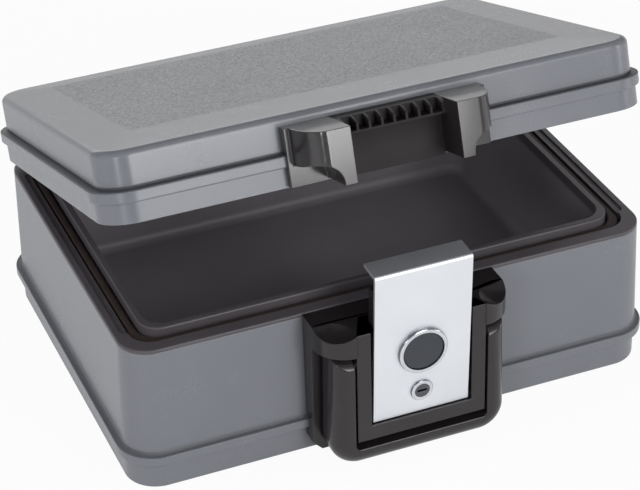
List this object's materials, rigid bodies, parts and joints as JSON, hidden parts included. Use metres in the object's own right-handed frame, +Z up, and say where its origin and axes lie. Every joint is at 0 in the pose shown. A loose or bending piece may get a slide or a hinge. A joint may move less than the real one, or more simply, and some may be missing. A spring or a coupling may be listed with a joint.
{
  "type": "safe deposit box",
  "caption": "Fire and water resistant document chest with a hinged lid, a sealed rim, a bail handle and a keyed push-button latch.",
  "frame": {"origin": "on the floor, under the middle of the case", "axes": "+X right, +Y back towards the hinges, +Z up"},
  "size_m": [0.3612, 0.3087, 0.2296],
  "materials": {
    "shell_grey": "satin moulded resin",
    "liner_black": "fine matt moulded",
    "insulation": "cast mineral fill",
    "seal_rubber": "soft matt",
    "trim_black": "semi-gloss moulded",
    "plate_silver": "satin silver paint",
    "button_slate": "semi-gloss",
    "bright_chrome": "polished",
    "lock_steel": "plated",
    "plain_steel": "zinc plated"
  },
  "bodies": {
    "base": {"base_shell": "shell_grey", "base_insulation": "insulation", "base_liner": "liner_black", "rim_seal": "seal_rubber", "latch_housing": "trim_black", "housing_screws": "plain_steel", "hinge_base_leaf_left": "plain_steel", "hinge_base_leaf_right": "plain_steel", "hinge_pin_left": "plain_steel", "hinge_pin_right": "plain_steel", "base_hinge_screws": "plain_steel", "handle_pin_left": "plain_steel", "handle_pin_right": "plain_steel", "latch_pivot_pin": "plain_steel", "catch_clip": "plain_steel", "flap_spring": "plain_steel", "latch_spring_screws": "plain_steel"},
    "lid": {"lid_shell": "shell_grey", "lid_insulation": "insulation", "lid_liner": "liner_black", "lid_bracket": "trim_black", "bracket_screws": "plain_steel", "hinge_lid_leaf_left": "plain_steel", "hinge_lid_leaf_right": "plain_steel", "lid_hinge_screws": "plain_steel"},
    "handle": {"bail_handle": "trim_black"},
    "latch": {"latch_plate": "plate_silver", "latch_carrier": "trim_black", "plate_push_nuts": "plain_steel", "button_bezel": "bright_chrome", "lock_body": "bright_chrome", "lock_nut": "lock_steel", "button_spring": "plain_steel"},
    "button": {"push_button": "button_slate", "button_clip": "plain_steel"},
    "lock": {"lock_plug": "lock_steel", "lock_cam": "lock_steel", "cam_screw": "plain_steel"}
  },
  "joints": [
    {"name": "lid_hinge", "type": "hinge", "parent": "base", "child": "lid", "pos_m": [0, 0.134, 0.102], "axis": [-1, 0, 0], "range_deg": [-18.1, 76.9]},
    {"name": "handle_swing", "type": "hinge", "parent": "base", "child": "handle", "pos_m": [0, -0.1565, 0.075], "axis": [-1, 0, 0], "range_deg": [0, 95]},
    {"name": "latch_pivot", "type": "hinge", "parent": "base", "child": "latch", "pos_m": [0, -0.152, 0.027], "axis": [1, 0, 0], "range_deg": [-2.7, 0], "stiffness_Nm_per_rad": 0.5, "springref_deg": 6.88, "deforming": ["catch_clip", "flap_spring"]},
    {"name": "button_push", "type": "slide", "parent": "latch", "child": "button", "axis": [0, 0.9989, 0.0471], "range_m": [0, 0.003], "stiffness_N_per_m": 400, "springref_m": -0.001, "deforming": ["button_spring"]},
    {"name": "lock_turn", "type": "hinge", "parent": "latch", "child": "lock", "pos_m": [0, -0.15305, 0.04928], "axis": [0, 0.9989, 0.0471], "range_deg": [0, 90]}
  ]
}
